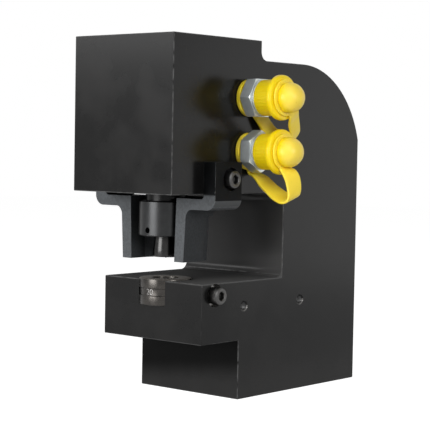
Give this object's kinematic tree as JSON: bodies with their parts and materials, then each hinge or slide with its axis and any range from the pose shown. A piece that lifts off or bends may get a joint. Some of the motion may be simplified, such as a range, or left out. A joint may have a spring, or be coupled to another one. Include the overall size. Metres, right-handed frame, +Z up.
{
  "type": "hydraulic punching machine",
  "caption": "C-frame hydraulic punching head with a double-acting ram, round punch and die, stripper bracket and capped hose couplers.",
  "frame": {"origin": "centre of the base's underside", "axes": "+X to the machine's right, the side with the couplers; +Y to its back; +Z up, against the punching stroke"},
  "size_m": [0.1667, 0.23, 0.272],
  "materials": {
    "black_paint": "semi-gloss black, very fine texture",
    "grey_casting": "satin dark grey, fine cast grain",
    "dark_steel": "blackened, turned",
    "nut_steel": "blackened, finely turned, satin",
    "tool_steel": "ground tool steel",
    "die_steel": "tempered tool steel, satin",
    "black_oxide": "black oxide",
    "nitrided_steel": "ground and nitrided, dark satin",
    "zinc_plate": "bright zinc plate",
    "spring_steel": "bright",
    "seal_rubber": "moulded rubber",
    "guide_band": "filled plastic",
    "yellow_vinyl": "soft semi-gloss yellow vinyl"
  },
  "bodies": {
    "root": {"frame": "black_paint", "gland_nut": "dark_steel", "gland_o_ring": "seal_rubber", "rod_seal": "seal_rubber", "rod_wiper": "seal_rubber", "stripper": "grey_casting", "stripper_screw_left": "black_oxide", "stripper_screw_right": "black_oxide", "die": "die_steel", "die_lock_screw": "black_oxide", "coupler_body_upper": "zinc_plate", "spring_retainer_upper": "spring_steel", "valve_spring_upper": "spring_steel", "cap_strap_upper": "yellow_vinyl", "coupler_body_lower": "zinc_plate", "spring_retainer_lower": "spring_steel", "valve_spring_lower": "spring_steel", "cap_strap_lower": "yellow_vinyl"},
    "ram": {"piston_rod": "nitrided_steel", "piston_seal": "seal_rubber", "piston_guide_ring": "guide_band", "punch_nut": "nut_steel", "punch": "tool_steel"},
    "poppet_upper": {"poppet_upper": "spring_steel", "poppet_seal_upper": "seal_rubber"},
    "dust_cap_upper": {"dust_cap_upper": "yellow_vinyl"},
    "poppet_lower": {"poppet_lower": "spring_steel", "poppet_seal_lower": "seal_rubber"},
    "dust_cap_lower": {"dust_cap_lower": "yellow_vinyl"}
  },
  "joints": [
    {"name": "ram_slide", "type": "slide", "parent": "root", "child": "ram", "axis": [0, 0, -1], "range_m": [0, 0.022]},
    {"name": "poppet_upper_slide", "type": "slide", "parent": "root", "child": "poppet_upper", "axis": [-1, 0, 0], "range_m": [0, 0.003], "stiffness_N_per_m": 600, "springref_m": -0.004, "deforming": ["valve_spring_upper"]},
    {"name": "dust_cap_upper_slide", "type": "slide", "parent": "root", "child": "dust_cap_upper", "axis": [1, 0, 0], "range_m": [0, 0.02], "deforming": ["cap_strap_upper"]},
    {"name": "poppet_lower_slide", "type": "slide", "parent": "root", "child": "poppet_lower", "axis": [-1, 0, 0], "range_m": [0, 0.003], "stiffness_N_per_m": 600, "springref_m": -0.004, "deforming": ["valve_spring_lower"]},
    {"name": "dust_cap_lower_slide", "type": "slide", "parent": "root", "child": "dust_cap_lower", "axis": [1, 0, 0], "range_m": [0, 0.02], "deforming": ["cap_strap_lower"]}
  ]
}
